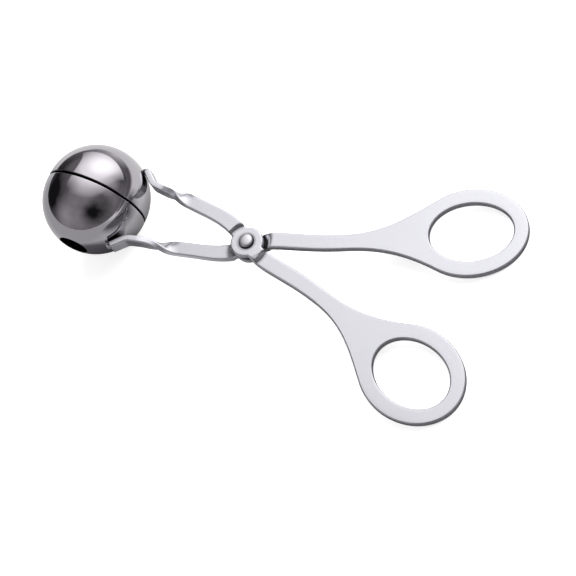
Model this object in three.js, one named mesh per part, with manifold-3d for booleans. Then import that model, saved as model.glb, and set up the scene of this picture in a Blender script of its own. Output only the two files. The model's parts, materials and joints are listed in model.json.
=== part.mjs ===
// Meatball tongs: two cups on crossed, riveted arms that close into one ball.
// Millimetres, +Z up. The tongs lie on a table as they do when put down: the ball and the ends of the
// finger loops touch z = 0, the loops point to +X, and the origin is the middle of the footprint.
import * as THREE from "three";
import { mergeVertices } from "three/addons/utils/BufferGeometryUtils.js";
import Module from "manifold-3d";

// Cups: pressed half shells with a short straight lip and a round vent at the pole.
const CUP_RADIUS = 19.6;
const CUP_WALL = 0.8;
const CUP_LIP = 0.5;
const VENT_RADIUS = 5.5;
const BALL_DISTANCE = 65.1; // pivot to the middle of the ball
const RIM_CLEARANCE = 0.1; // left between the two rims when the ball is shut

// Arms: each is one stamped strip, from the finger loop to the tab that carries the cup.
const PLATE = 2.5;
const BOSS_RADIUS = 5.9;
const JAW_LIFT = 1.2; // the jaw strip stands this much further from the lap than the boss
const NECK_ANGLE = degrees(36); // the strip crosses the boss at this angle to the tongs' axis
const NECK_REACH = 10; // how far it keeps that direction
const NECK_WIDTH = 5.9; // of the strip, at the boss
const JAW_WIDTH = 5.2; // where the twist starts, and on to the tab
const SHANK_WIDTH = 5.7; // where the flare starts
const WIDTH_HELD = 0.4; // past the boss edge, before the strip changes width

// Sets: where the strip leaves the level of the boss, as reaches past the boss edge, for each face.
const JAW_SET_OUTSIDE = [0.5, 1.35];
const JAW_SET_INSIDE = [0, 3.6];
const SHANK_SET_OUTSIDE = [0, 2.6];
const SHANK_SET_INSIDE = [0.4, 3.7];
const SET_CURVE = 2.2; // how sharply each face turns at the end of its set

// Jaw strip: flat at the boss, turned a quarter round, then bent out to lie on the cup.
const RUN_START = 22; // where the strip runs straight, from the pivot along the tongs' axis
const RUN_OFFSET = 7.4; // and from that axis
const TWIST_START = 25.5;
const TWIST_LENGTH = 12;
const FALL_START = 29.5; // where it starts down to the middle of the cup
const FALL_LENGTH = 12;
const ELBOW_REACH = 8;
const TAB_ANGLE = degrees(48.7); // where the tab's plane comes nearest to the cup, from the tongs' axis
const TAB_BACK = 7.8; // from there back to the bend
const TAB_FRONT = -1; // and on to the tip, which stops short of it
const TAB_BEND = 1.3; // length of strip taken up by each side of the bend
const TAB_CLEARANCE = 0.3; // between the flat tab and the cup, bridged by the weld

// Handle: a slim shank that flares into an oval finger loop.
const LOOP_ANGLE = degrees(19.7); // with the ball shut
const LOOP_DISTANCE = 79.3; // pivot to the middle of the loop
const FINGER_LENGTH = 29;
const FINGER_WIDTH = 21.8;
const LOOP_BAND_END = 5.1;
const LOOP_BAND_SIDE = 5.5;
const SHANK_LENGTH = 36; // pivot to the start of the flare
const SHANK_SAG = 1.3; // the shank bows this far towards the other arm
const SHANK_REACH = 18;
const FLARE_REACH = 14;
const FLARE_EASE = 11;
const FLARE_MEETS = degrees(125); // round the loop, from its outer end

// Pivot: a rivet with a domed head in front and a flatter one upset behind, through a thin washer.
const RIVET_RADIUS = 2;
const RIVET_CLEARANCE = 0.15; // round the shank
const HEAD_RADIUS = 2.5;
const HEAD_HEIGHT = 1.5; // above the boss
const TAIL_HEIGHT = 0.9;
const SINK_RADIUS = 2.9; // of the countersink round each head
const SINK_DEPTH = 1.6;
const WASHER_RADIUS = 5.2;
const WASHER_THICKNESS = 0.4;
const RUNNING_CLEARANCE = 0.15; // on each face of the bosses

// Weld beads: one across the tip of each tab, down on the cup.
const WELD_RADIUS = 0.8;
const WELD_LENGTH = 4.4;
const WELD_CLEARANCE = 0.2;

const REST_OPENING = degrees(0.5); // the ball stands this far open, so its parting line shows

const ROUND_SIDES = 48;
const STRIP_SIDES = 4; // across a strip
const CUP_RINGS = 11;
const SMALL_SIDES = 24;
const STRIP_STEP = 0.6; // length of one piece of the strip
const OVERLAP = 0.4; // joined solids reach this far into each other

const lap = WASHER_THICKNESS + 2 * RUNNING_CLEARANCE;
const bossLevel = (lap + PLATE) / 2;
const jawLevel = bossLevel + JAW_LIFT;
const loopHalfLength = FINGER_LENGTH / 2 + LOOP_BAND_END;
const loopHalfWidth = FINGER_WIDTH / 2 + LOOP_BAND_SIDE;
const bossFace = lap / 2 + PLATE; // the outer face of a boss
const sphereCentre = new THREE.Vector2(-BALL_DISTANCE, RIM_CLEARANCE / 2 + CUP_LIP);

const wasm = await Module();
wasm.setup();

function degrees(angle) {
  return (angle * Math.PI) / 180;
}

function direction(angle) {
  return new THREE.Vector2(Math.cos(angle), Math.sin(angle));
}

// Closed geometry as a solid that can be joined and cut.
function solid(geometry) {
  const bare = new THREE.BufferGeometry();
  bare.setAttribute("position", geometry.getAttribute("position"));
  bare.setIndex(geometry.getIndex());
  const merged = mergeVertices(bare, 1e-4);
  const mesh = new wasm.Mesh({
    numProp: 3,
    vertProperties: new Float32Array(merged.getAttribute("position").array),
    triVerts: new Uint32Array(merged.getIndex().array),
  });
  return new wasm.Manifold(mesh);
}

function geometryOf(manifold) {
  const mesh = manifold.getMesh();
  const geometry = new THREE.BufferGeometry();
  geometry.setAttribute("position", new THREE.BufferAttribute(mesh.vertProperties, 3));
  geometry.setIndex(new THREE.BufferAttribute(mesh.triVerts, 1));
  geometry.computeVertexNormals();
  return geometry;
}

function steel(colour, roughness) {
  return new THREE.MeshStandardMaterial({ color: colour, roughness, metalness: 1 });
}

// A flat plate of one shape, its mid-plane at the given level.
function plate(shape, thickness, level) {
  const geometry = new THREE.ExtrudeGeometry(shape, {
    depth: thickness,
    bevelEnabled: false,
    curveSegments: ROUND_SIDES / 2,
  });
  return geometry.translate(0, 0, level - thickness / 2);
}

function oval(x, y, halfLength, halfWidth, turn) {
  return new THREE.Shape().absellipse(x, y, halfLength, halfWidth, 0, 2 * Math.PI, false, turn);
}

// The front arm's centre line, seen along the rivet: the handle runs down to the right, the jaw up to
// the left. Lengths count from the pivot, negative along the handle.
const handleAxis = direction(-LOOP_ANGLE);
const handleSide = new THREE.Vector2(-handleAxis.y, handleAxis.x); // towards the other handle
const neck = direction(-NECK_ANGLE);

function onHandle(along, across) {
  return handleAxis.clone().multiplyScalar(along).addScaledVector(handleSide, across);
}

function shankLine() {
  return new THREE.CubicBezierCurve(
    new THREE.Vector2(0, 0),
    neck.clone().multiplyScalar(NECK_REACH),
    onHandle(SHANK_LENGTH - SHANK_REACH, SHANK_SAG),
    onHandle(SHANK_LENGTH, SHANK_SAG),
  );
}

const tabOut = direction(TAB_ANGLE);
const tabAlong = new THREE.Vector2(-tabOut.y, tabOut.x);
const tabMiddle = sphereCentre
  .clone()
  .addScaledVector(tabOut, CUP_RADIUS + TAB_CLEARANCE + PLATE / 2);

// Boss to tab: an elbow out of the boss, a straight run that takes the twist, a bend and the tab.
function jawLine() {
  const start = new THREE.Vector2(-RUN_START, RUN_OFFSET);
  const corner = tabMiddle.clone().addScaledVector(tabAlong, -TAB_BACK);
  const run = corner.clone().sub(start).normalize();
  const bendStart = corner.clone().addScaledVector(run, -TAB_BEND);
  const bendEnd = corner.clone().addScaledVector(tabAlong, TAB_BEND);
  const tabEnd = tabMiddle.clone().addScaledVector(tabAlong, TAB_FRONT);
  const line = new THREE.CurvePath();
  line.add(
    new THREE.CubicBezierCurve(
      new THREE.Vector2(0, 0),
      neck.clone().multiplyScalar(-NECK_REACH),
      start.clone().addScaledVector(run, -ELBOW_REACH),
      start,
    ),
  );
  line.add(new THREE.LineCurve(start, bendStart));
  line.add(new THREE.QuadraticBezierCurve(bendStart, corner, bendEnd));
  line.add(new THREE.LineCurve(bendEnd, tabEnd));
  return line;
}

// How far along a set a reach from the pivot is, from 0 to 1.
function setShare(reach, [start, end]) {
  return THREE.MathUtils.clamp((reach - BOSS_RADIUS - start) / (end - start), 0, 1);
}

// The level of a strip near the boss. The outer face turns late in its set and the inner face early.
function setLevel(reach, outer, endLevel, outside, inside) {
  const late = setShare(reach, outside) ** SET_CURVE;
  const early = 1 - (1 - setShare(reach, inside)) ** SET_CURVE;
  return THREE.MathUtils.lerp(bossLevel, endLevel, THREE.MathUtils.lerp(early, late, outer));
}

function stripWidth(reach, endReach, endWidth) {
  const share = THREE.MathUtils.smoothstep(reach, BOSS_RADIUS + WIDTH_HELD, endReach);
  return THREE.MathUtils.lerp(NECK_WIDTH, endWidth, share);
}

// A strip of the plate along a line: a box whose slices are set on the line, raised and rolled.
function strip(line, sectionAt, levelAt) {
  const steps = Math.ceil(line.getLength() / STRIP_STEP);
  const geometry = new THREE.BoxGeometry(1, 1, 1, steps, STRIP_SIDES, 1);
  const position = geometry.getAttribute("position");
  for (let i = 0; i < position.count; i++) {
    const along = position.getX(i) + 0.5;
    const point = line.getPointAt(along);
    const tangent = line.getTangentAt(along);
    const side = new THREE.Vector3(-tangent.y, tangent.x, 0);
    const { width, roll } = sectionAt(point);
    const across = position.getY(i) * width;
    const through = position.getZ(i) * PLATE;
    const reach = Math.hypot(point.x + side.x * across, point.y + side.y * across);
    const level = levelAt(point, reach, position.getZ(i) + 0.5);
    const place = new THREE.Vector3(point.x, point.y, level)
      .addScaledVector(side, across * Math.cos(roll) - through * Math.sin(roll));
    place.z += across * Math.sin(roll) + through * Math.cos(roll);
    position.setXYZ(i, place.x, place.y, place.z);
  }
  return geometry;
}

function jawStrip() {
  const twist = (point) =>
    THREE.MathUtils.smoothstep(-point.x, TWIST_START, TWIST_START + TWIST_LENGTH);
  const fall = (point) =>
    THREE.MathUtils.smoothstep(-point.x, FALL_START, FALL_START + FALL_LENGTH);
  const sectionAt = (point) => ({
    width: stripWidth(point.length(), RUN_START, JAW_WIDTH),
    roll: (twist(point) * Math.PI) / 2,
  });
  const levelAt = (point, reach, outer) => {
    const level = setLevel(reach, outer, jawLevel, JAW_SET_OUTSIDE, JAW_SET_INSIDE);
    return THREE.MathUtils.lerp(level, 0, fall(point)); // the tab is centred on the cup
  };
  return strip(jawLine(), sectionAt, levelAt);
}

function shankStrip() {
  const sectionAt = (point) => ({
    width: stripWidth(point.length(), SHANK_LENGTH, SHANK_WIDTH),
    roll: 0,
  });
  const levelAt = (_, reach, outer) =>
    setLevel(reach, outer, 0, SHANK_SET_OUTSIDE, SHANK_SET_INSIDE);
  return strip(shankLine(), sectionAt, levelAt);
}

// The flare from the shank to the widest part of the loop, in the plane of the handle.
function flareShape() {
  const start = SHANK_LENGTH - OVERLAP;
  const meets = new THREE.Vector2(
    LOOP_DISTANCE + loopHalfLength * Math.cos(FLARE_MEETS),
    loopHalfWidth * Math.sin(FLARE_MEETS),
  );
  const tangent = new THREE.Vector2(
    loopHalfLength * Math.sin(FLARE_MEETS),
    -loopHalfWidth * Math.cos(FLARE_MEETS),
  ).normalize();
  const ease = meets.clone().addScaledVector(tangent, -FLARE_EASE);
  const points = (side) => [
    onHandle(start, SHANK_SAG + (side * SHANK_WIDTH) / 2),
    onHandle(start + FLARE_REACH, SHANK_SAG + (side * SHANK_WIDTH) / 2),
    onHandle(ease.x, side * ease.y),
    onHandle(meets.x, side * meets.y),
  ];
  const near = points(-1);
  const far = points(1);
  const shape = new THREE.Shape();
  shape.moveTo(near[0].x, near[0].y);
  shape.bezierCurveTo(near[1].x, near[1].y, near[2].x, near[2].y, near[3].x, near[3].y);
  shape.lineTo(far[3].x, far[3].y);
  shape.bezierCurveTo(far[2].x, far[2].y, far[1].x, far[1].y, far[0].x, far[0].y);
  shape.closePath();
  return shape;
}

// One arm, cut from plate and set: loop, flare, shank, boss and jaw strip in one piece.
function armGeometry() {
  const loopMiddle = onHandle(LOOP_DISTANCE, 0);
  const place = [loopMiddle.x, loopMiddle.y];
  const loop = oval(...place, loopHalfLength, loopHalfWidth, -LOOP_ANGLE);
  const finger = oval(...place, FINGER_LENGTH / 2, FINGER_WIDTH / 2, -LOOP_ANGLE);
  const boss = oval(0, 0, BOSS_RADIUS, BOSS_RADIUS, 0);
  const bore = oval(0, 0, RIVET_RADIUS + RIVET_CLEARANCE, RIVET_RADIUS + RIVET_CLEARANCE, 0);
  const sinkGrowth = (SINK_RADIUS - RIVET_RADIUS - RIVET_CLEARANCE) / SINK_DEPTH;
  const sink = new THREE.CylinderGeometry(
    SINK_RADIUS + sinkGrowth * OVERLAP,
    RIVET_RADIUS + RIVET_CLEARANCE,
    SINK_DEPTH + OVERLAP,
    ROUND_SIDES,
  )
    .rotateX(Math.PI / 2)
    .translate(0, 0, bossFace - (SINK_DEPTH - OVERLAP) / 2);
  const arm = solid(plate(loop, PLATE, 0))
    .add(solid(plate(flareShape(), PLATE, 0)))
    .add(solid(shankStrip()))
    .add(solid(plate(boss, PLATE, bossLevel)))
    .add(solid(jawStrip()))
    .subtract(solid(plate(finger, PLATE + 2 * OVERLAP, 0)))
    .subtract(solid(plate(bore, PLATE + 2 * OVERLAP, bossLevel)))
    .subtract(solid(sink));
  return geometryOf(arm);
}

// A cup turned about its own pole: lip, half sphere, vent, and the same wall inside.
function cupGeometry() {
  const rim = RIM_CLEARANCE / 2;
  const wallArc = (radius) => {
    const vent = Math.asin(VENT_RADIUS / radius);
    return Array.from({ length: CUP_RINGS + 1 }, (_, i) => {
      const angle = THREE.MathUtils.lerp(0, Math.PI / 2 - vent, i / CUP_RINGS);
      return direction(angle).multiplyScalar(radius).add(new THREE.Vector2(0, sphereCentre.y));
    });
  };
  const outside = wallArc(CUP_RADIUS);
  const inside = wallArc(CUP_RADIUS - CUP_WALL).reverse();
  const first = new THREE.Vector2(CUP_RADIUS, rim);
  const last = new THREE.Vector2(CUP_RADIUS - CUP_WALL, rim);
  const profile = [first, ...outside, ...inside, last, first.clone()];
  return new THREE.LatheGeometry(profile, ROUND_SIDES).translate(sphereCentre.x, 0, 0);
}

// A weld bead lying on the cup, across the tip of the tab.
function weldGeometry() {
  const along = TAB_FRONT + WELD_CLEARANCE + WELD_RADIUS;
  const out = Math.sqrt((CUP_RADIUS + WELD_CLEARANCE + WELD_RADIUS) ** 2 - along ** 2);
  const place = sphereCentre.clone().addScaledVector(tabOut, out).addScaledVector(tabAlong, along);
  return new THREE.CapsuleGeometry(WELD_RADIUS, WELD_LENGTH - 2 * WELD_RADIUS, 4, SMALL_SIDES / 2)
    .rotateX(Math.PI / 2)
    .translate(place.x, place.y, 0);
}

function washerGeometry() {
  const ring = oval(0, 0, WASHER_RADIUS, WASHER_RADIUS, 0);
  ring.holes.push(oval(0, 0, RIVET_RADIUS + RIVET_CLEARANCE, RIVET_RADIUS + RIVET_CLEARANCE, 0));
  return plate(ring, WASHER_THICKNESS, 0);
}

function rivetGeometry() {
  const dome = (height) =>
    Array.from({ length: SMALL_SIDES / 4 + 1 }, (_, i) => {
      const turn = direction((i / (SMALL_SIDES / 4)) * (Math.PI / 2));
      return new THREE.Vector2(HEAD_RADIUS * turn.x, bossFace + height * turn.y);
    });
  const tail = dome(TAIL_HEIGHT)
    .map((point) => new THREE.Vector2(point.x, -point.y))
    .reverse();
  const neckLevel = bossFace - SINK_DEPTH;
  const shank = [-neckLevel, neckLevel].map((level) => new THREE.Vector2(RIVET_RADIUS, level));
  const profile = [...tail, ...shank, ...dome(HEAD_HEIGHT)];
  profile[0].x = 0;
  profile[profile.length - 1].x = 0;
  return new THREE.LatheGeometry(profile, SMALL_SIDES).rotateX(Math.PI / 2);
}

function piece(name, geometry, material) {
  const mesh = new THREE.Mesh(geometry, material);
  mesh.name = name;
  return mesh;
}

// One half of the tongs, with the jaw on the +Y side: arm, cup and the weld between them.
function half(arm, cup) {
  const group = new THREE.Group();
  group.add(piece(arm, armGeometry(), steel(0xdcdce2, 0.32)));
  group.add(piece(cup, cupGeometry(), steel(0xb4b0b6, 0.08)));
  group.add(piece(cup + "_weld", weldGeometry(), steel(0x8d8a90, 0.45)));
  return group;
}

const front = half("front_arm", "upper_cup");
front.rotation.z = -REST_OPENING / 2;

// Both arms are the same stamping: the rear one is turned over about the tongs' axis.
const rear = half("rear_arm", "lower_cup");
rear.rotation.set(Math.PI, 0, -REST_OPENING / 2);

const tongs = new THREE.Group();
tongs.add(front, rear);
tongs.add(piece("pivot_rivet", rivetGeometry(), steel(0xe6e4e8, 0.15)));
tongs.add(piece("pivot_washer", washerGeometry(), steel(0xd0ced4, 0.25)));

// Laid on the table: the ball and the far ends of the loops touch it.
const spread = LOOP_ANGLE + REST_OPENING / 2;
const loopEnd =
  LOOP_DISTANCE * Math.cos(spread) +
  Math.hypot(loopHalfLength * Math.cos(spread), loopHalfWidth * Math.sin(spread));
const span = loopEnd + BALL_DISTANCE;
const tilt = Math.asin(CUP_RADIUS / Math.hypot(span, PLATE / 2)) - Math.atan2(PLATE / 2, span);
tongs.rotation.y = tilt;

const lying = new THREE.Group();
lying.add(tongs);
const box = new THREE.Box3().setFromObject(lying, true);
tongs.position.set(-(box.min.x + box.max.x) / 2, -(box.min.y + box.max.y) / 2, -box.min.z);

export default lying;
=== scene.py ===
import json
import math

import bmesh
import bpy
from mathutils import Matrix, Vector, noise


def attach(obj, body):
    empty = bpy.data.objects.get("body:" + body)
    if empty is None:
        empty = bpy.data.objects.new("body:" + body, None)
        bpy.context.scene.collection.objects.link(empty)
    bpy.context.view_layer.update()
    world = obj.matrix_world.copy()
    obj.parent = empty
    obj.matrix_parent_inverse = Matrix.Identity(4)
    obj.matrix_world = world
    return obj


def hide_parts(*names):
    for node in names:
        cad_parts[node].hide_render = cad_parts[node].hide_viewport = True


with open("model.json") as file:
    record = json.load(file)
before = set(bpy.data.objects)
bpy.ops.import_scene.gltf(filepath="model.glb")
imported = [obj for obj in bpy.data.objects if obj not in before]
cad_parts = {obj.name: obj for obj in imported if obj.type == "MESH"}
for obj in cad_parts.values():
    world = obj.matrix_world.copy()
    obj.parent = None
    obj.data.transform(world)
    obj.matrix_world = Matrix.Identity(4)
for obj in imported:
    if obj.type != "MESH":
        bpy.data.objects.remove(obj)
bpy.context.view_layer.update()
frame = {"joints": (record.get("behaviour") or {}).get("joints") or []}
scene = bpy.context.scene

# Camera
# The tongs lie on the table with the rivet leaning a few degrees off upright, so the rivet's own axis
# gives the frame that every piece and the camera are set out in, in millimetres from the pivot.
MM = 0.001
pivot = frame["joints"][0]
rivet_up = -Vector(pivot["axis"]).normalized()
to_upper_cup = Vector((0, 1, 0))
to_loops = to_upper_cup.cross(rivet_up)
lying = Matrix((to_loops, to_upper_cup, rivet_up)).transposed().to_4x4()
lying.translation = Vector(pivot["pos_m"])

camera_data = bpy.data.cameras.new("photo_camera")
camera_data.sensor_width = 36
camera_data.lens = 96.505
camera = bpy.data.objects.new("photo_camera", camera_data)
scene.collection.objects.link(camera)
camera_aim = Vector((-0.406166, 0.284823, -0.868277))
camera_top = Vector((-0.269894, 0.870403, 0.411772))
camera_turn = Matrix((camera_aim.cross(camera_top), camera_top, -camera_aim)).transposed().to_4x4()
camera_turn.translation = Vector((237.4254, -162.7605, 462.7739)) * MM
camera.matrix_world = lying @ camera_turn
scene.camera = camera

# Arms
# Each arm is one stamping of 2.5 mm stainless plate with tumbled edges: finger loop, flare, shank, boss
# and jaw strip. The flat blank is cut first, then set at the boss, twisted and bent at the tab.
PLATE = 2.5
EDGE_ROUND = 0.55
SQUARE_EDGE = 1.3
SIDE_FACING = 0.6
MAP_SCALE = 0.01
REST_OPENING = math.radians(0.5)

# Boss, with a countersink that widens the bore from a share of the plate's thickness outwards.
BOSS_RADIUS = 5.9
BOSS_RINGS = (3.5, 4.7)
BOSS_LEVEL = 1.6
BORE_RADIUS = 2.15
BORE_ROUND = 0.2
NEAR_BORE = 3
SINK_GROWTH = 0.5
SINK_START = 0.36

# Strips from the boss to the loop and to the cup: their headings, lengths, widths and level.
NECK_ANGLE = math.radians(-36)
NECK_REACH = 10
NECK_ENDS = 7
NARROWS_FROM = 6.3
STRAIGHT_ROWS = (10, 16)
HANDLE_ANGLE = math.radians(-19.7)
SHANK_REACH = 36
SHANK_SAG = 1.3
SHANK_HALF_WIDTH = 2.85
JAW_HALF_WIDTH = 2.6
JAW_EVEN_FROM = 21
JAW_LEVEL = 2.8
RUN_EASE = 8

# Distances from the pivot over which each face of the plate is set, and over which the jaw strip turns.
SHANK_OUTER_SET = (5.9, 8.5)
SHANK_INNER_SET = (6.3, 9.6)
JAW_OUTER_SET = (6.2, 7.5)
JAW_INNER_SET = (5.9, 9.5)
TWIST = (25.5, 37.5)
COMING_DOWN = (29.5, 41.5)

# Finger loop and the flare that runs into it.
LOOP_REACH = 79.3
LOOP_HALF_LENGTH = 19.6
LOOP_HALF_WIDTH = 16.4
HOLE_HALF_LENGTH = 14.5
HOLE_HALF_WIDTH = 10.9
FLARE_MEETS = math.radians(125)
FLARE_STRAIGHT = 13.6
FLARE_EASE = 11

# Tab, flat against the cup that it is welded to.
CUP_RADIUS = 19.6
TAB_ANGLE = math.radians(48.7)
TAB_CLEARANCE = 0.3
TAB_LENGTH = 7.8
TAB_STOPS_SHORT = 1
TAB_BEND = 1.3
ball_middle = Vector((-65.1, 0.55))


def heading(angle):
    """One step in a direction on the plane that the arms swing in."""
    return Vector((math.cos(angle), math.sin(angle)))


def within(value, start, end):
    """The share of the way from a start to an end, 0 before and 1 past them."""
    return min(max((value - start) / (end - start), 0), 1)


def ease(value, start, end):
    """The same share, slow at both ends."""
    share = within(value, start, end)
    return share * share * (3 - 2 * share)


def mix(start, end, share):
    return start + (end - start) * share


def bezier(points, share):
    """The point at a share of the curve that a few points pull."""
    points = list(points)
    while len(points) > 1:
        points = [a.lerp(b, share) for a, b in zip(points, points[1:])]
    return points[0]


def oval(half_length, half_width, turn):
    return Vector((half_length * math.cos(turn), half_width * math.sin(turn)))


neck = heading(NECK_ANGLE)
handle = heading(HANDLE_ANGLE)
handle_side = Vector((-handle.y, handle.x))
shank_middle = handle * SHANK_REACH / 2 + handle_side * SHANK_SAG
shank_end = handle * SHANK_REACH + handle_side * SHANK_SAG
tab_out = heading(TAB_ANGLE)
tab_along = Vector((-tab_out.y, tab_out.x))
tab_touch = ball_middle + tab_out * (CUP_RADIUS + TAB_CLEARANCE + PLATE / 2)
tab_corner = tab_touch - tab_along * TAB_LENGTH
tab_tip = tab_touch - tab_along * TAB_STOPS_SHORT
run_start = Vector((-22, 7.4))
run = (tab_corner - run_start).normalized()
bend_start = tab_corner - run * TAB_BEND
bend_end = tab_corner + tab_along * TAB_BEND


def line_through(*curves):
    """Points close together along joined curves, each with its distance from the first."""
    points = []
    for curve in curves:
        steps = 1 if len(curve) == 2 else 60
        points += [bezier(curve, step / steps) for step in range(0 if not points else 1, steps + 1)]
    distances = [0]
    for a, b in zip(points, points[1:]):
        distances.append(distances[-1] + (b - a).length)
    return points, distances


shank_line = line_through([Vector((0, 0)), neck * NECK_REACH, shank_middle, shank_end])
jaw_line = line_through(
    [Vector((0, 0)), neck * -NECK_REACH, run_start - run * RUN_EASE, run_start],
    [run_start, bend_start],
    [bend_start, tab_corner, bend_end],
    [bend_end, tab_tip],
)
shank_length = shank_line[1][-1]
jaw_length = jaw_line[1][-1]
loop_middle = Vector((shank_length + LOOP_REACH - SHANK_REACH, -SHANK_SAG))
flare_corner = loop_middle + oval(LOOP_HALF_LENGTH, LOOP_HALF_WIDTH, FLARE_MEETS)


def along_line(line, distance):
    """The point at a distance along a line, carried straight on past its end, and the heading there."""
    points, distances = line
    found = 1
    while found < len(points) - 1 and distances[found] < distance:
        found += 1
    ahead = (points[found] - points[found - 1]).normalized()
    return points[found - 1] + ahead * (distance - distances[found - 1]), ahead


def heading_along(line, distance, either_way=0.4):
    """The heading, smoothed over a short length of the line."""
    before, _ = along_line(line, max(distance - either_way, 0))
    after, _ = along_line(line, distance + either_way)
    return (after - before).normalized()


def arm_blank():
    """The flat blank: x runs along the strip from the boss, towards the loop, y across, z through."""
    blank = bmesh.new()
    spoke = [blank.verts.new((radius, 0, 0)) for radius in (BORE_RADIUS, *BOSS_RINGS, BOSS_RADIUS)]
    edges = [blank.edges.new(pair) for pair in zip(spoke, spoke[1:])]
    bmesh.ops.spin(
        blank, geom=spoke + edges, axis=(0, 0, 1), cent=(0, 0, 0), angle=math.tau, steps=36, use_merge=True
    )

    # The strips leave the boss on a sixth of its rim, six faces wide, with close rows where they are set.
    strips = (
        (1, shank_length, 70, SHANK_HALF_WIDTH, shank_length),
        (-1, jaw_length, 120, JAW_HALF_WIDTH, JAW_EVEN_FROM),
    )
    for end, length, rows, half_width, even_from in strips:
        strip = bmesh.ops.create_grid(blank, x_segments=rows, y_segments=6, size=0.5)["verts"]
        for vertex in strip:
            share = math.sin(math.radians(60 * vertex.co.y)) * 2
            row = BOSS_RADIUS + (length - BOSS_RADIUS) * (vertex.co.x + 0.5) ** 1.5
            half = mix(BOSS_RADIUS / 2, half_width, ease(row, NARROWS_FROM, even_from))
            y = half * share
            rounded = 1 - ease(row, *STRAIGHT_ROWS)
            x = row + rounded * (math.sqrt(row * row - y * y) - row)
            vertex.co = (end * x, end * y, 0)

    # Finger loop: a band between two ovals, open towards the shank, where the flare closes it.
    band = bmesh.ops.create_grid(blank, x_segments=96, y_segments=3, size=0.5)["verts"]
    for vertex in band:
        turn = vertex.co.x * 2 * FLARE_MEETS
        out = vertex.co.y + 0.5
        x = loop_middle.x + mix(HOLE_HALF_LENGTH, LOOP_HALF_LENGTH, out) * math.cos(turn)
        y = loop_middle.y + mix(HOLE_HALF_WIDTH, LOOP_HALF_WIDTH, out) * math.sin(turn)
        vertex.co = (x, y, 0)

    # Flare: one flat face between the shank's end, the two flanks and the back of the finger hole.
    tangent = Vector((LOOP_HALF_LENGTH * math.sin(FLARE_MEETS), -LOOP_HALF_WIDTH * math.cos(FLARE_MEETS)))
    eased = flare_corner - tangent.normalized() * FLARE_EASE
    for side in (-1, 1):
        flank = [
            Vector((shank_length, side * SHANK_HALF_WIDTH)),
            Vector((shank_length + FLARE_STRAIGHT, side * SHANK_HALF_WIDTH)),
            Vector((eased.x, loop_middle.y + side * (eased.y - loop_middle.y))),
            Vector((flare_corner.x, loop_middle.y + side * (flare_corner.y - loop_middle.y))),
        ]
        points = [blank.verts.new((*bezier(flank, step / 32), 0)) for step in range(33)]
        for pair in zip(points, points[1:]):
            blank.edges.new(pair)
    back = []
    for step in range(45):
        turn = mix(FLARE_MEETS, math.tau - FLARE_MEETS, step / 44)
        spot = loop_middle + oval(HOLE_HALF_LENGTH, HOLE_HALF_WIDTH, turn)
        back.append(blank.verts.new((*spot, 0)))
    for pair in zip(back, back[1:]):
        blank.edges.new(pair)
    bmesh.ops.remove_doubles(blank, verts=blank.verts[:], dist=0.02)
    gap = [edge for edge in blank.edges if edge.is_wire]
    gap += [edge for edge in blank.edges if edge.is_boundary and borders_flare(edge)]
    bmesh.ops.contextual_create(blank, geom=gap)

    # Thickness, then the rolled edge that tumbling leaves all round the outline and the holes.
    bmesh.ops.recalc_face_normals(blank, faces=blank.faces[:])
    raised = bmesh.ops.extrude_face_region(blank, geom=blank.faces[:])["geom"]
    top = [item for item in raised if isinstance(item, bmesh.types.BMVert)]
    bmesh.ops.translate(blank, verts=top, vec=(0, 0, PLATE))
    bmesh.ops.translate(blank, verts=blank.verts[:], vec=(0, 0, -PLATE / 2))
    bmesh.ops.recalc_face_normals(blank, faces=blank.faces[:])
    rim = [edge for edge in blank.edges if edge.calc_face_angle(0) > SQUARE_EDGE]
    bore = [edge for edge in rim if max(vertex.co.xy.length for vertex in edge.verts) < NEAR_BORE]
    outline = [edge for edge in rim if edge not in bore]
    for edges, offset in ((bore, BORE_ROUND), (outline, EDGE_ROUND)):
        bmesh.ops.bevel(
            blank, geom=edges, offset=offset, segments=4, profile=0.5, affect="EDGES", material=-1,
            clamp_overlap=False
        )
    return blank


def borders_flare(edge):
    """Tells an open edge at the shank's end, or across one end of the loop's band."""
    if all(abs(vertex.co.x - shank_length) < 0.05 for vertex in edge.verts):
        return True
    middle = (edge.verts[0].co + edge.verts[1].co) / 2
    across = abs(middle.y - loop_middle.y)
    inner = oval(HOLE_HALF_LENGTH, HOLE_HALF_WIDTH, FLARE_MEETS)
    outer = Vector((flare_corner.x - loop_middle.x, flare_corner.y - loop_middle.y))
    spoke = Vector((middle.x - loop_middle.x, across)) - inner
    reach = outer - inner
    off_line = abs(spoke.x * reach.y - spoke.y * reach.x) / reach.length
    return off_line < 0.02 and 0 < spoke.dot(reach) < reach.length_squared


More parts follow.
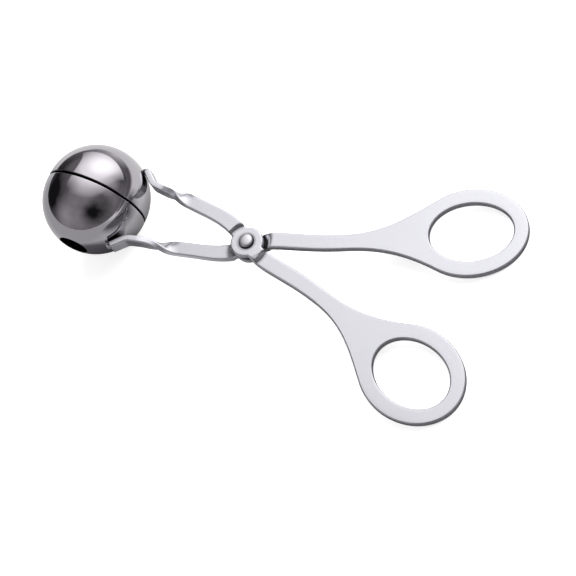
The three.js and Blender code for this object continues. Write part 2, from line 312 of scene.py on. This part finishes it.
def formed(place):
    """Where a point of the flat blank goes when the arm is countersunk, set, twisted and bent."""
    from_pivot = math.hypot(place.x, place.y)
    outer = place.z / PLATE + 0.5
    if from_pivot < NEAR_BORE:
        from_axis = Vector((place.x, place.y, 0)) / from_pivot
        place = place + from_axis * SINK_GROWTH * within(outer, SINK_START, 1)
    reach = abs(place.x)
    line, side_sign = (shank_line, 1) if place.x >= 0 else (jaw_line, -1)
    middle, _ = along_line(line, reach)
    share = 0
    if place.x >= 0:
        outer_set = within(from_pivot, *SHANK_OUTER_SET) ** 3
        inner_set = 1 - (1 - within(from_pivot, *SHANK_INNER_SET)) ** 2.2
        level = mix(BOSS_LEVEL, 0, mix(inner_set, outer_set, outer))
    else:
        outer_set = ease(from_pivot, *JAW_OUTER_SET)
        inner_set = 1 - (1 - within(from_pivot, *JAW_INNER_SET)) ** 2.5
        level = mix(BOSS_LEVEL, JAW_LEVEL, mix(inner_set, outer_set, outer))
        share = ease(-middle.x, *TWIST)
        level = mix(level, 0, ease(-middle.x, *COMING_DOWN))
    ahead = heading_along(line, reach) * side_sign if reach > NECK_ENDS else neck
    side = Vector((-ahead.y, ahead.x))
    roll = share * math.pi / 2 * side_sign
    sideways = place.y * math.cos(roll) - place.z * math.sin(roll)
    spot = middle + side * sideways
    return Vector((spot.x, spot.y, level + place.y * math.sin(roll) + place.z * math.cos(roll)))


def make_piece(name, mesh, seat, *materials):
    """A bmesh in millimetres as a finished object, set in its place on the tongs."""
    bmesh.ops.transform(mesh, matrix=seat @ Matrix.Scale(MM, 4), verts=mesh.verts[:])
    data = bpy.data.meshes.new(name)
    for face in mesh.faces:
        face.smooth = True
    mesh.to_mesh(data)
    mesh.free()
    for material in materials:
        data.materials.append(material)
    piece = bpy.data.objects.new(name, data)
    scene.collection.objects.link(piece)
    return piece


def new_metal(name, colour, roughness):
    """A metal with its own nodes: the shader, and the tree that its grain is built in."""
    material = bpy.data.materials.new(name)
    material.use_nodes = True
    shader = material.node_tree.nodes["Principled BSDF"]
    shader.inputs["Base Color"].default_value = (*colour, 1)
    shader.inputs["Metallic"].default_value = 1
    shader.inputs["Roughness"].default_value = roughness
    return material, material.node_tree, shader


def reckoned(tree, operation, *values, clamped=False):
    """The result of a Math node on values that are sockets or plain numbers."""
    node = tree.nodes.new("ShaderNodeMath")
    node.operation = operation
    node.use_clamp = clamped
    for socket, value in zip(node.inputs, values):
        if isinstance(value, bpy.types.NodeSocket):
            tree.links.new(value, socket)
        else:
            socket.default_value = value
    return node.outputs["Value"]


def spread(tree, source, low, high, socket):
    """A 0 to 1 pattern stretched to a range of values and put into a socket."""
    node = tree.nodes.new("ShaderNodeMapRange")
    node.inputs["To Min"].default_value = low
    node.inputs["To Max"].default_value = high
    tree.links.new(source, node.inputs["Value"])
    tree.links.new(node.outputs["Result"], socket)


def tinted(tree, source, first, second, socket):
    """A 0 to 1 pattern as a blend of two colours."""
    node = tree.nodes.new("ShaderNodeMix")
    node.data_type = "RGBA"
    node.inputs["A"].default_value = (*first, 1)
    node.inputs["B"].default_value = (*second, 1)
    tree.links.new(source, node.inputs["Factor"])
    tree.links.new(node.outputs["Result"], socket)


def painted_corner_shade(tree, reach, power, socket):
    """The colour that goes into a socket, with painted shade darkening it in corners and hollows narrower
    than a reach.
    """
    corner = tree.nodes.new("ShaderNodeAmbientOcclusion")
    corner.inputs["Distance"].default_value = reach
    shade = tree.nodes.new("ShaderNodeMix")
    shade.data_type = "RGBA"
    shade.inputs["A"].default_value = (0.012, 0.012, 0.014, 1)
    tree.links.new(reckoned(tree, "POWER", corner.outputs["AO"], power), shade.inputs["Factor"])
    tree.links.new(socket.links[0].from_socket, shade.inputs["B"])
    tree.links.new(shade.outputs["Result"], socket)


def bumped(tree, source, height, socket):
    """A 0 to 1 pattern as fine relief, its height in metres."""
    node = tree.nodes.new("ShaderNodeBump")
    node.inputs["Strength"].default_value = 1
    node.inputs["Distance"].default_value = height
    tree.links.new(source, node.inputs["Height"])
    tree.links.new(node.outputs["Normal"], socket)


def pattern(tree, coordinates, size, detail, roughness):
    """Noise read at a scale given for each direction of the coordinates."""
    where = tree.nodes.new("ShaderNodeTexCoord")
    mapping = tree.nodes.new("ShaderNodeMapping")
    mapping.inputs["Scale"].default_value = size
    grain = tree.nodes.new("ShaderNodeTexNoise")
    grain.inputs["Scale"].default_value = 1
    grain.inputs["Detail"].default_value = detail
    grain.inputs["Roughness"].default_value = roughness
    tree.links.new(where.outputs[coordinates], mapping.inputs["Vector"])
    tree.links.new(mapping.outputs["Vector"], grain.inputs["Vector"])
    return grain.outputs["Fac"]


satin_steel, tree, shader = new_metal("satin_steel", (0.7, 0.7, 0.74), roughness=0.3)
grain = pattern(tree, "UV", (4, 260, 1), detail=3, roughness=0.6)
clouds = pattern(tree, "Object", (60, 60, 60), detail=2, roughness=0.5)
tinted(tree, clouds, (0.54, 0.54, 0.575), (0.575, 0.575, 0.61), shader.inputs["Base Color"])
shader.inputs["Metallic"].default_value = 0.8
# Painted shade: the plates go nearly black in tight corners, creases and the gaps at the pivot.
painted_corner_shade(tree, 0.0015, 3, shader.inputs["Base Color"])
spread(tree, grain, 0.18, 0.27, shader.inputs["Roughness"])
bumped(tree, grain, 0.000005, shader.inputs["Normal"])

sheared_steel, tree, shader = new_metal("sheared_steel", (0.55, 0.55, 0.59), roughness=0.3)
grain = pattern(tree, "UV", (90, 90, 1), detail=3, roughness=0.6)
tinted(tree, grain, (0.6, 0.6, 0.64), (0.7, 0.7, 0.74), shader.inputs["Base Color"])
shader.inputs["Metallic"].default_value = 0.9
# Painted shade: the sheared sides go nearly black in tight corners and gaps.
painted_corner_shade(tree, 0.0015, 3, shader.inputs["Base Color"])
spread(tree, grain, 0.22, 0.38, shader.inputs["Roughness"])
bumped(tree, grain, 0.00002, shader.inputs["Normal"])


def make_arm(name, seat):
    """One arm: the blank keeps a flat map for its grain, shows its sheared sides, and is then formed."""
    arm = arm_blank()
    blank_map = arm.loops.layers.uv.new("blank")
    for face in arm.faces:
        face.material_index = 1 if abs(face.normal.z) < SIDE_FACING else 0
        for loop in face.loops:
            loop[blank_map].uv = (loop.vert.co.x * MAP_SCALE, loop.vert.co.y * MAP_SCALE)
    for vertex in arm.verts:
        vertex.co = formed(vertex.co)
    piece = make_piece(name, arm, seat, satin_steel, sheared_steel)
    weighted = piece.modifiers.new("even_shading", "WEIGHTED_NORMAL")
    weighted.weight = 50
    return piece


front_seat = lying @ Matrix.Rotation(-REST_OPENING / 2, 4, "Z")
rear_seat = lying @ Matrix.Rotation(math.pi, 4, "X") @ Matrix.Rotation(-REST_OPENING / 2, 4, "Z")
front_arm = make_arm("front_arm_plate", front_seat)
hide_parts("front_arm")
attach(front_arm, "front_lever")
rear_arm = make_arm("rear_arm_plate", rear_seat)
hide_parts("rear_arm")
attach(rear_arm, "rear_lever")

# Cups
# Two half shells pressed from thin stainless sheet and polished to a mirror, each with a short straight
# lip at the parting line and a round vent at its pole. The edges of lip and vent are rounded a little.
CUP_WALL = 0.8
CUP_RINGS = 40
LIP_START = 0.22
LIP_END = 0.55
LIP_ROUND = 0.15
LIP_SHARP = 1
INSIDE_BELOW = 0.2
MERGED_WITHIN = 0.0005
VENT_RADIUS = 5.5

polished_steel, tree, shader = new_metal("polished_steel", (0.5, 0.48, 0.51), roughness=0.06)
waves = pattern(tree, "Object", (45, 45, 45), detail=1, roughness=0.4)
scuffs = pattern(tree, "Object", (700, 700, 700), detail=3, roughness=0.6)
tinted(tree, waves, (0.47, 0.45, 0.48), (0.53, 0.51, 0.54), shader.inputs["Base Color"])
spread(tree, scuffs, 0.04, 0.1, shader.inputs["Roughness"])
bumped(tree, waves, 0.00006, shader.inputs["Normal"])

inside_steel, tree, shader = new_metal("inside_steel", (0.5, 0.48, 0.51), roughness=0.2)
scuffs = pattern(tree, "Object", (700, 700, 700), detail=3, roughness=0.6)
tinted(tree, scuffs, (0.47, 0.45, 0.48), (0.53, 0.51, 0.54), shader.inputs["Base Color"])
# Painted shade: the inside of the shell darkens where its own walls close it in.
painted_corner_shade(tree, 0.045, 3, shader.inputs["Base Color"])
spread(tree, scuffs, 0.12, 0.3, shader.inputs["Roughness"])


def make_cup(name, seat):
    """One shell, spun from the section of its wall, with its inside left duller than its outside."""
    cup = bmesh.new()
    profile = [Vector((CUP_RADIUS, LIP_START))]
    outwards = range(CUP_RINGS + 1)
    for radius, rings in ((CUP_RADIUS, outwards), (CUP_RADIUS - CUP_WALL, reversed(outwards))):
        vent = math.pi / 2 - math.asin(VENT_RADIUS / radius)
        profile += [heading(vent * ring / CUP_RINGS) * radius + Vector((0, LIP_END)) for ring in rings]
    profile.append(Vector((CUP_RADIUS - CUP_WALL, LIP_START)))
    section = [cup.verts.new((ball_middle.x + point.x, point.y, 0)) for point in profile]
    edges = [cup.edges.new(pair) for pair in zip(section, section[1:] + section[:1])]
    pole = (ball_middle.x, 0, 0)
    bmesh.ops.spin(
        cup, geom=section + edges, axis=(0, 1, 0), cent=pole, angle=math.tau, steps=144, use_merge=True
    )
    bmesh.ops.remove_doubles(cup, verts=cup.verts[:], dist=MERGED_WITHIN)
    bmesh.ops.recalc_face_normals(cup, faces=cup.faces[:])
    lips = [edge for edge in cup.edges if edge.calc_face_angle(0) > LIP_SHARP]
    bmesh.ops.bevel(
        cup, geom=lips, offset=LIP_ROUND, segments=3, profile=0.5, affect="EDGES", material=-1,
        clamp_overlap=False
    )
    for face in cup.faces:
        middle = face.calc_center_median()
        if (middle - Vector((ball_middle.x, LIP_END, 0))).length < CUP_RADIUS - INSIDE_BELOW:
            face.material_index = 1
    return make_piece(name, cup, seat, polished_steel, inside_steel)


upper_cup = make_cup("upper_cup_shell", front_seat)
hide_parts("upper_cup")
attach(upper_cup, "front_lever")
lower_cup = make_cup("lower_cup_shell", rear_seat)
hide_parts("lower_cup")
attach(lower_cup, "rear_lever")

# Welds
# A short bead of stainless filler across the tip of each tab, run down on the cup. It is rippled where
# the pool froze, fuller in the middle, and only lightly dressed.
BEAD_RADIUS = 0.92
BEAD_HALF_LENGTH = 2.2
BEAD_PAST_TIP = 0.7
BEAD_OFF_CUP = 0.75
RIPPLE_HEIGHT = 0.06
RIPPLE_PACE = 15
LUMP_HEIGHT = 0.12
LUMP_PACE = 2.5

weld_steel, tree, shader = new_metal("weld_steel", (0.6, 0.59, 0.61), roughness=0.32)
lumps = pattern(tree, "Object", (900, 900, 900), detail=3, roughness=0.6)
tinted(tree, lumps, (0.5, 0.49, 0.51), (0.7, 0.69, 0.71), shader.inputs["Base Color"])
spread(tree, lumps, 0.22, 0.45, shader.inputs["Roughness"])
bumped(tree, lumps, 0.00008, shader.inputs["Normal"])


def make_weld(name, seat):
    """One bead, a long drop that reaches into the tab and the cup."""
    bead = bmesh.new()
    bmesh.ops.create_uvsphere(bead, u_segments=32, v_segments=28, radius=1)
    off_tab = CUP_RADIUS + BEAD_OFF_CUP - (tab_touch - ball_middle).length
    middle = tab_tip + tab_along * BEAD_PAST_TIP + tab_out * off_tab
    for vertex in bead.verts:
        height = vertex.co.z
        lump = LUMP_HEIGHT * noise.noise(vertex.co * LUMP_PACE)
        ripple = 1 + RIPPLE_HEIGHT * math.sin(height * RIPPLE_PACE) + lump
        across = Vector((vertex.co.x, vertex.co.y)) * BEAD_RADIUS * ripple
        place = middle + tab_out * across.x + tab_along * across.y
        vertex.co = (place.x, place.y, height * BEAD_HALF_LENGTH)
    return make_piece(name, bead, seat, weld_steel)


upper_weld = make_weld("upper_weld_bead", front_seat)
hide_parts("upper_cup_weld")
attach(upper_weld, "front_lever")
lower_weld = make_weld("lower_weld_bead", rear_seat)
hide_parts("lower_cup_weld")
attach(lower_weld, "rear_lever")

# Rivet
# A solid stainless rivet: a straight-sided head with a low dome in front, a shank through both bosses,
# and a tail upset behind into a flatter head. Both heads sit in the countersinks of the bosses.
STEM_RADIUS = 2
STEM_HALF_LENGTH = 1.25
HEAD_RADIUS = 2.5
HEAD_FOOT = 2.85
HEAD_TOP = 3.75
DOME_RISE = 0.6
TURNED_ROUND = 0.08
TURNED_SHARP = 0.9

bright_steel, tree, shader = new_metal("bright_steel", (0.72, 0.71, 0.74), roughness=0.16)
turning = pattern(tree, "Object", (1200, 1200, 1200), detail=3, roughness=0.6)
tinted(tree, turning, (0.61, 0.6, 0.625), (0.69, 0.68, 0.705), shader.inputs["Base Color"])
# Painted shade: the rivet and washer darken to black in the tight gaps between them and the bosses.
painted_corner_shade(tree, 0.0009, 2, shader.inputs["Base Color"])
spread(tree, turning, 0.3, 0.45, shader.inputs["Roughness"])
bumped(tree, turning, 0.00002, shader.inputs["Normal"])


def turned(outline, steps):
    """A piece turned about the rivet's axis from its outline, radius and height, with rounded corners."""
    body = bmesh.new()
    section = [body.verts.new((radius, 0, height)) for radius, height in outline]
    edges = [body.edges.new(pair) for pair in zip(section, section[1:])]
    bmesh.ops.spin(
        body, geom=section + edges, axis=(0, 0, 1), cent=(0, 0, 0), angle=math.tau, steps=steps,
        use_merge=True
    )
    bmesh.ops.remove_doubles(body, verts=body.verts[:], dist=MERGED_WITHIN)
    bmesh.ops.recalc_face_normals(body, faces=body.faces[:])
    corners = [edge for edge in body.edges if edge.calc_face_angle(0) > TURNED_SHARP]
    bmesh.ops.bevel(
        body, geom=corners, offset=TURNED_ROUND, segments=3, profile=0.5, affect="EDGES", material=-1,
        clamp_overlap=False
    )
    return body


tail = [(0, -HEAD_TOP), (1.4, -HEAD_TOP), (2, -3.62), (2.4, -3.35), (HEAD_RADIUS, -3.1)]
tail.append((HEAD_RADIUS, -HEAD_FOOT))
stem = [(STEM_RADIUS, -STEM_HALF_LENGTH), (STEM_RADIUS, STEM_HALF_LENGTH)]
head = [(HEAD_RADIUS, HEAD_FOOT), (HEAD_RADIUS, HEAD_TOP)]
for turn in (0.3, 0.6, 0.85, 1.1, 1.3, 1.45):
    head.append((HEAD_RADIUS * math.cos(turn), HEAD_TOP + DOME_RISE * math.sin(turn)))
head.append((0, HEAD_TOP + DOME_RISE))
rivet = make_piece("pivot_rivet_body", turned(tail + stem + head, 64), lying, bright_steel)
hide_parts("pivot_rivet")
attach(rivet, "rear_lever")

# Washer
# A thin hard stainless washer, held loosely by the rivet between the two bosses. It has the small
# rounding of a stamped ring.
WASHER_BORE = 2.15
WASHER_RADIUS = 5.2
WASHER_HALF = 0.2

lower_face = [(WASHER_BORE, -WASHER_HALF), (WASHER_RADIUS, -WASHER_HALF)]
upper_face = [(WASHER_RADIUS, WASHER_HALF), (WASHER_BORE, WASHER_HALF)]
ring = lower_face + upper_face + lower_face[:1]
washer = make_piece("pivot_washer_ring", turned(ring, 96), lying, bright_steel)
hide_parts("pivot_washer")
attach(washer, "rear_lever")

# Studio
# A white table under a dim room with one large soft light above and behind the tongs. The polished cups
# show all of it: the table as a pale ring, the room as the dark middle, the light as the bright patch.
# The metal sees painted reflections: a glowing copy of the table with painted shade, a faintly glowing
# dark dome for the room and a glowing sheet for the light. None casts a shadow; the lamp lights the table.
TABLE_HALF = 6
ROOM_RADIUS = 2
ROOM_FOOT = 0.02
CONTACT_REACH = 0.02
LAMP_AWAY = 0.75
BEHIND_BALL = ((-0.069, 0, 0), math.radians(98), 0.078)


def make_stage(name, mesh):
    """A bmesh in metres as an object of the studio."""
    data = bpy.data.meshes.new(name)
    mesh.to_mesh(data)
    mesh.free()
    item = bpy.data.objects.new(name, data)
    scene.collection.objects.link(item)
    return item


def seen_directly(tree):
    """1 for what the camera sees, straight on or in metal or glass, and 0 for light on its way."""
    path = tree.nodes.new("ShaderNodeLightPath")
    either = reckoned(tree, "MAXIMUM", path.outputs["Is Camera Ray"], path.outputs["Is Glossy Ray"])
    return reckoned(tree, "MAXIMUM", either, path.outputs["Is Transmission Ray"])


def patch(tree, middle, size, fading=1):
    """1 at a place, fading to 0 all round it over the given share of its size."""
    where = tree.nodes.new("ShaderNodeTexCoord")
    shift = tree.nodes.new("ShaderNodeMapping")
    shift.inputs["Location"].default_value = [-value / size for value in middle]
    shift.inputs["Scale"].default_value = [1 / size] * 3
    fade = tree.nodes.new("ShaderNodeTexGradient")
    fade.gradient_type = "SPHERICAL"
    tree.links.new(where.outputs["Object"], shift.inputs["Vector"])
    tree.links.new(shift.outputs["Vector"], fade.inputs["Vector"])
    return reckoned(tree, "DIVIDE", fade.outputs["Fac"], fading, clamped=True)


def wedge(tree, middle, heading_angle, half_turn):
    """1 in one direction from a place, fading to 0 at a share of a turn to either side."""
    where = tree.nodes.new("ShaderNodeTexCoord")
    shift = tree.nodes.new("ShaderNodeMapping")
    shift.vector_type = "TEXTURE"
    shift.inputs["Location"].default_value = middle
    shift.inputs["Rotation"].default_value = (0, 0, heading_angle)
    turned_by = tree.nodes.new("ShaderNodeTexGradient")
    turned_by.gradient_type = "RADIAL"
    tree.links.new(where.outputs["Object"], shift.inputs["Vector"])
    tree.links.new(shift.outputs["Vector"], turned_by.inputs["Vector"])
    aside = reckoned(tree, "SUBTRACT", turned_by.outputs["Fac"], 0.5)
    either_side = reckoned(tree, "ABSOLUTE", aside)
    return reckoned(tree, "MULTIPLY_ADD", either_side, -1 / half_turn, 1, clamped=True)


def weighed(tree, base, *parts):
    """A number with patterns added to it, each times its own weight."""
    total = base
    for source, weight in parts:
        total = reckoned(tree, "MULTIPLY_ADD", source, weight, total)
    return total


def new_glow(name, colour):
    """A material that only shines, its strength still to be set."""
    material = bpy.data.materials.new(name)
    material.use_nodes = True
    tree = material.node_tree
    tree.nodes.remove(tree.nodes["Principled BSDF"])
    glow = tree.nodes.new("ShaderNodeEmission")
    glow.inputs["Color"].default_value = (*colour, 1)
    return material, tree, glow


# The table, white to the eye. The metal mirrors a glowing copy of it with painted shade: a painted contact
# shadow close under the tongs, painted dark patches, and a painted light wedge behind the ball.
floor_mesh = bmesh.new()
bmesh.ops.create_grid(floor_mesh, x_segments=1, y_segments=1, size=TABLE_HALF)
floor = make_stage("table", floor_mesh)
table_white = bpy.data.materials.new("table_white")
table_white.use_nodes = True
tree = table_white.node_tree
shader = tree.nodes["Principled BSDF"]
shader.inputs["Base Color"].default_value = (0.9, 0.9, 0.9, 1)
shader.inputs["Roughness"].default_value = 0.9
shader.inputs["Specular IOR Level"].default_value = 0
shader.inputs["Emission Color"].default_value = (1, 1, 1, 1)
spread(tree, seen_directly(tree), 0, 0.72, shader.inputs["Emission Strength"])
# Painted contact shadow: the mirrored table darkens within a reach of the tongs.
contact = tree.nodes.new("ShaderNodeAmbientOcclusion")
contact.inputs["Distance"].default_value = CONTACT_REACH
mirrored = tree.nodes.new("ShaderNodeEmission")
open_share = reckoned(tree, "POWER", contact.outputs["AO"], 1.6)
spread(tree, open_share, 0.03, 0.95, mirrored.inputs["Strength"])
# Painted shade in patches on the mirrored table, and painted light in a wedge behind the ball.
shaded = weighed(
    tree, 0,
    (patch(tree, (0.07, -0.02, 0), 0.105, 0.35), 0.87),
    (patch(tree, (1.35, 2.2, 0), 2.5, 0.03), 1),
    (wedge(tree, *BEHIND_BALL), -0.85),
    (patch(tree, (-0.7, -1.65, 0), 1.8, 0.05), 0.505),
    (patch(tree, (-0.068, -0.024, 0), 0.03, 0.6), 0.78),
)
tinted(tree, shaded, (1, 1, 1), (0.15, 0.147, 0.162), mirrored.inputs["Color"])
path = tree.nodes.new("ShaderNodeLightPath")
choice = tree.nodes.new("ShaderNodeMixShader")
tree.links.new(path.outputs["Is Glossy Ray"], choice.inputs["Fac"])
tree.links.new(shader.outputs["BSDF"], choice.inputs[1])
tree.links.new(mirrored.outputs["Emission"], choice.inputs[2])
tree.links.new(choice.outputs["Shader"], tree.nodes["Material Output"].inputs["Surface"])
floor.data.materials.append(table_white)

# Even light from all round, and white where nothing else stands behind the tongs.
world = bpy.data.worlds.new("studio")
scene.world = world
world.use_nodes = True
tree = world.node_tree
background = tree.nodes["Background"]
background.inputs["Color"].default_value = (1, 1, 1, 1)
spread(tree, seen_directly(tree), 0.35, 1, background.inputs["Strength"])

# The room, a dome that only the metal shows: a painted reflection that glows faintly, darker and lighter
# in painted patches.
room_mesh = bmesh.new()
bmesh.ops.create_uvsphere(room_mesh, u_segments=64, v_segments=32, radius=ROOM_RADIUS)
bmesh.ops.bisect_plane(
    room_mesh, geom=room_mesh.verts[:] + room_mesh.edges[:] + room_mesh.faces[:],
    plane_co=(0, 0, ROOM_FOOT), plane_no=(0, 0, 1), clear_inner=True
)
room = make_stage("dim_room", room_mesh)
room_grey, tree, glow = new_glow("room_grey", (1, 0.96, 1))
haze = pattern(tree, "Object", (1.2, 1.2, 1.2), detail=2, roughness=0.5)
# Painted shade and light: the room's glow is set patch by patch, darker behind the ball.
dimness = weighed(
    tree, 0.1,
    (haze, 0.22),
    (patch(tree, (-1.8, -0.4, 0.6), 1.5), -0.32),
    (patch(tree, (1.34, -1.06, 1.02), 1.3), -0.2),
    (patch(tree, (0.9, -1.5, 1), 0.9), -0.1),
    (patch(tree, (-0.8, -1.6, 0.7), 1.4), 0.24),
    (patch(tree, (0.2, -0.2, 2), 1.3), 0.16),
    (patch(tree, (-1.8, 0.9, 0.3), 1), -0.12),
    (patch(tree, (1.24, 1.5, 0.3), 1), -0.12),
    (patch(tree, (1.2, 0.9, 1.3), 0.9), 0.5),
    (wedge(tree, *BEHIND_BALL), 0.4),
)
tree.links.new(reckoned(tree, "MAXIMUM", dimness, 0.012), glow.inputs["Strength"])
tree.links.new(glow.outputs["Emission"], tree.nodes["Material Output"].inputs["Surface"])
room.data.materials.append(room_grey)

# The light sheet, hung behind the tongs and drawn forward over them, with a slanted left side: a glowing
# sheet that only the metal shows, the painted reflection of the light.
SHEET_TOP = 0.8
SHEET_BACK = 0.8
SHEET_FRONT = -0.6
SHEET_LEFT = -0.62
SHEET_WIDTH = 1.6
SHEET_SLANT = 0.3

sheet_mesh = bmesh.new()
foot = sheet_mesh.verts.new((0, SHEET_BACK, 0.15))
knee = sheet_mesh.verts.new((0, SHEET_BACK, 0.3))
sheet_mesh.edges.new((foot, knee))
bmesh.ops.spin(sheet_mesh, geom=[knee], axis=(1, 0, 0), cent=(0, 0.3, 0.3), angle=math.pi / 2, steps=16)
last = max(sheet_mesh.verts, key=lambda vertex: vertex.co.z)
front_hem = sheet_mesh.verts.new((0, SHEET_FRONT, SHEET_TOP))
sheet_mesh.edges.new((last, front_hem))
side = bmesh.ops.extrude_edge_only(sheet_mesh, edges=sheet_mesh.edges[:])["geom"]
side = [item for item in side if isinstance(item, bmesh.types.BMVert)]
bmesh.ops.translate(sheet_mesh, verts=side, vec=(SHEET_WIDTH, 0, 0))
bmesh.ops.translate(sheet_mesh, verts=sheet_mesh.verts[:], vec=(SHEET_LEFT, 0, 0))
for vertex in sheet_mesh.verts:
    if vertex.co.x < 0:
        vertex.co.x -= SHEET_SLANT * (SHEET_TOP - vertex.co.z)
light_sheet = make_stage("light_sheet", sheet_mesh)
soft_white, tree, glow = new_glow("soft_white", (1, 0.99, 1))
# Painted highlight: the sheet glows brighter and dimmer in painted patches, and fades out at its soft
# edge.
brightness = weighed(
    tree, 1.22,
    (patch(tree, (0, 0.6, 0.8), 0.6), 0.62),
    (patch(tree, (0.06, 0.8, 0.5), 0.55), 1),
    (patch(tree, (-0.5, -0.15, 0.8), 0.4), -0.75),
)
tree.links.new(brightness, glow.inputs["Strength"])
clear = tree.nodes.new("ShaderNodeBsdfTransparent")
soft_edge = tree.nodes.new("ShaderNodeMixShader")
tree.links.new(patch(tree, (-0.04, 0.64, 0.6), 0.95, 0.5), soft_edge.inputs["Fac"])
tree.links.new(clear.outputs["BSDF"], soft_edge.inputs[1])
tree.links.new(glow.outputs["Emission"], soft_edge.inputs[2])
tree.links.new(soft_edge.outputs["Shader"], tree.nodes["Material Output"].inputs["Surface"])
light_sheet.data.materials.append(soft_white)

for shown_in_metal in (room, light_sheet):
    shown_in_metal.visible_camera = False
    shown_in_metal.visible_diffuse = False
    shown_in_metal.visible_shadow = False
    shown_in_metal.visible_transmission = False

# The lamp under the sheet lights the tongs and the table and casts the shadow. No metal mirrors it.
light_from = Vector((0.05, 0.66, 0.74)).normalized()
light_turn = light_from.to_track_quat("Z", "Y").to_matrix().to_4x4()
lamp_data = bpy.data.lights.new("soft_light", "AREA")
lamp_data.shape = "RECTANGLE"
lamp_data.size = 1.1
lamp_data.size_y = 0.8
lamp_data.energy = 9
lamp = bpy.data.objects.new("soft_light", lamp_data)
lamp.matrix_world = Matrix.Translation(light_from * LAMP_AWAY) @ light_turn
lamp.visible_glossy = False
lamp.visible_camera = False
scene.collection.objects.link(lamp)

scene.view_settings.view_transform = "Standard"
